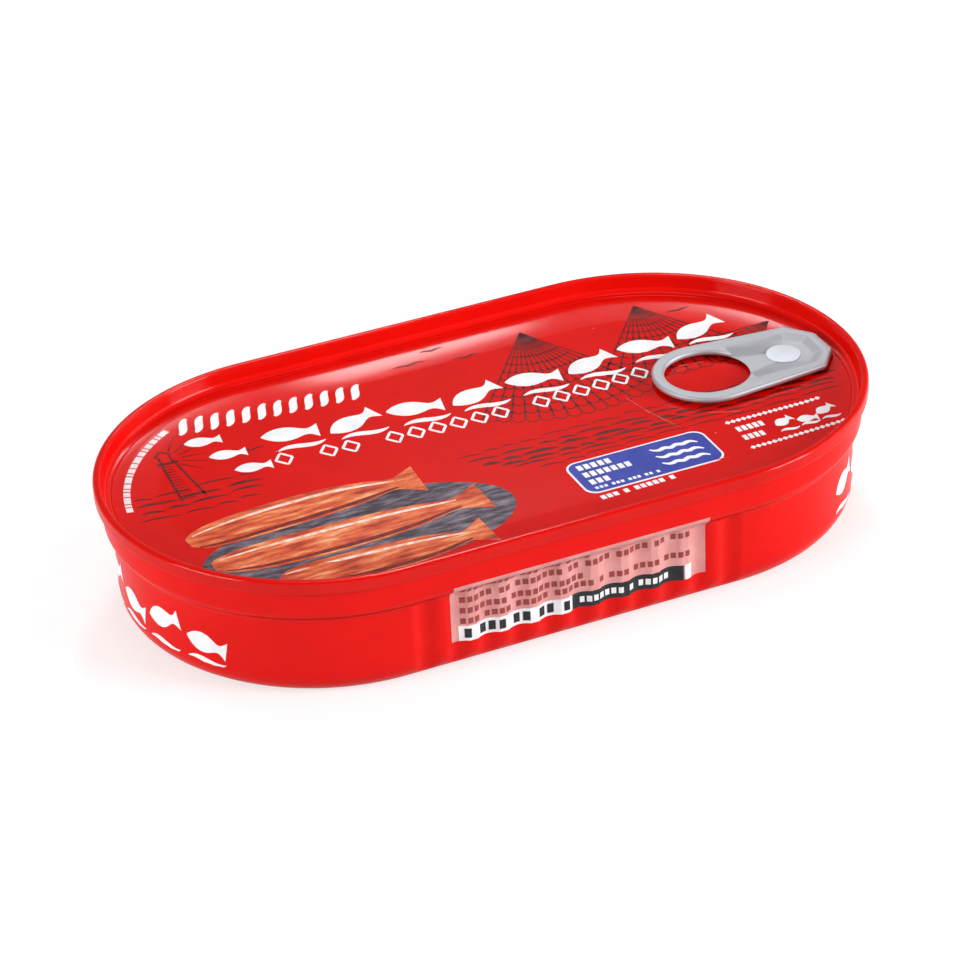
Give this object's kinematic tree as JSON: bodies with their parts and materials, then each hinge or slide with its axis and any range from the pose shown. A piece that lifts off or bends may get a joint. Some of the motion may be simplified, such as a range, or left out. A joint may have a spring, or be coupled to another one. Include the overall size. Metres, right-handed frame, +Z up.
{
  "type": "oblong fish tin",
  "caption": "Shut oblong easy-open fish tin with half-round ends, fluted long sides, double seam, sunken scored lid and a ring pull riveted at one end.",
  "frame": {"origin": "middle of the base, on the plane the tin stands on", "axes": "+X along the length towards the ring pull's end, +Y across the width, +Z up through the lid"},
  "size_m": [0.148, 0.0824, 0.0257],
  "materials": {
    "red_enamel_can": "glossy red lacquer on drawn steel sheet",
    "red_enamel_lid": "glossy printed red lacquer on steel sheet",
    "tab_metal": "satin, with rounded curled edges",
    "rivet_enamel": "white lacquer"
  },
  "bodies": {
    "root": {"can_body": "red_enamel_can", "lid": "red_enamel_lid", "pull_tab": "tab_metal", "rivet": "rivet_enamel"}
  },
  "joints": []
}
